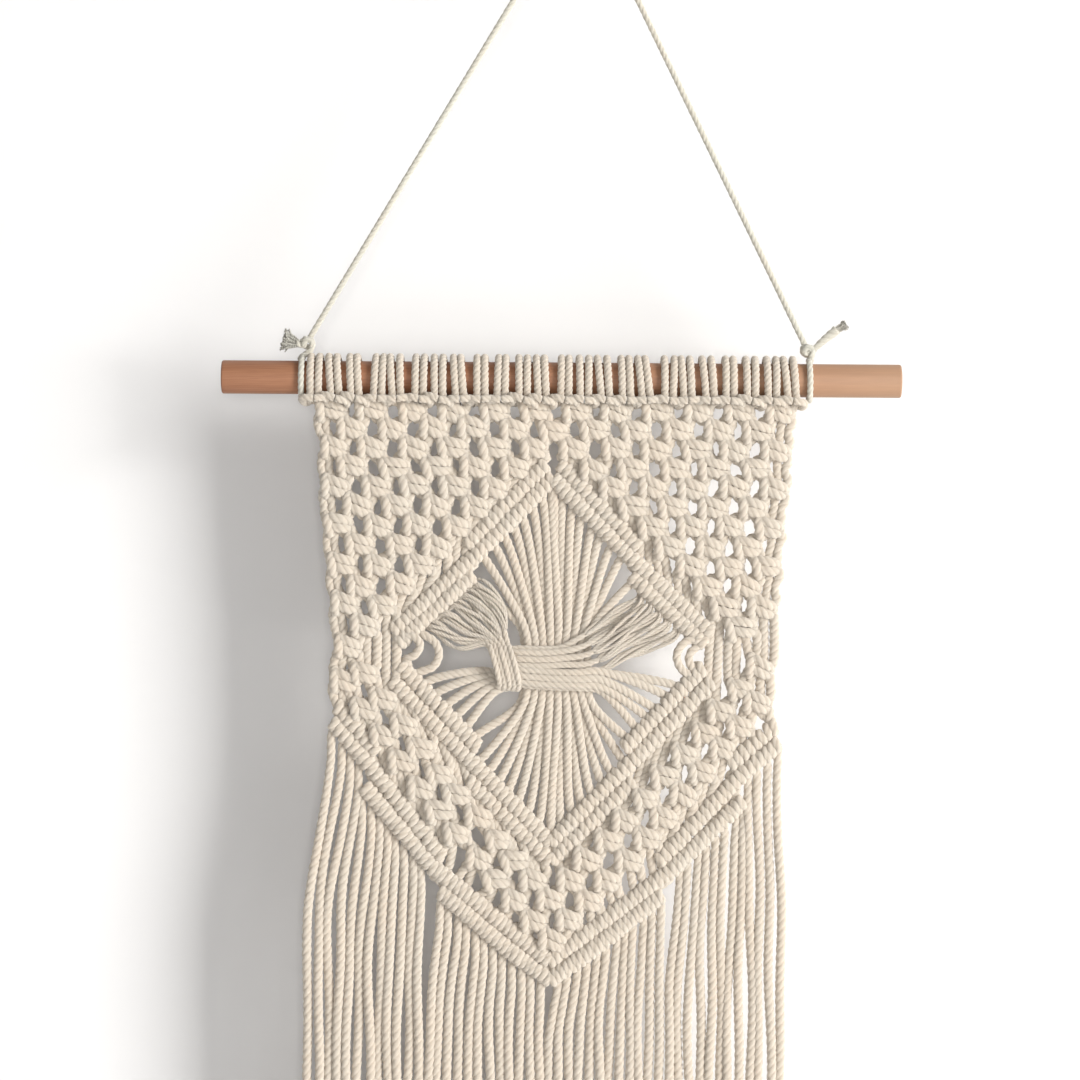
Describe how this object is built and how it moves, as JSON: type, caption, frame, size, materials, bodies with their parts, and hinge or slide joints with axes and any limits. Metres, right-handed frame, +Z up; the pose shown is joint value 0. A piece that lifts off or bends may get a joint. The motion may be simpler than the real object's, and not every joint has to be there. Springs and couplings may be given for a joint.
{
  "type": "macrame wall hanging on a wooden rod",
  "caption": "Knotted cotton wall hanging: a field of square knots round an open diamond with a gathered middle, hitched bars and a long fringe, on a round wooden rod with a hanging cord.",
  "frame": {"origin": "underside of the top bend of the hanging cord, where a nail or hook carries it", "axes": "+Z up, -Y towards the viewer, so the wall is on the +Y side, +X to the viewer's right along the rod"},
  "size_m": [0.326, 0.026, 0.7859],
  "materials": {
    "cotton": "undyed twisted cotton",
    "wood": "sanded and oiled"
  },
  "bodies": {
    "root": {"rod": "wood", "hanging_cord": "cotton", "tie_left": "cotton", "tie_right": "cotton", "heading": "cotton", "knotted_panel": "cotton", "fringe_left": "cotton", "fringe_right": "cotton"}
  },
  "joints": []
}
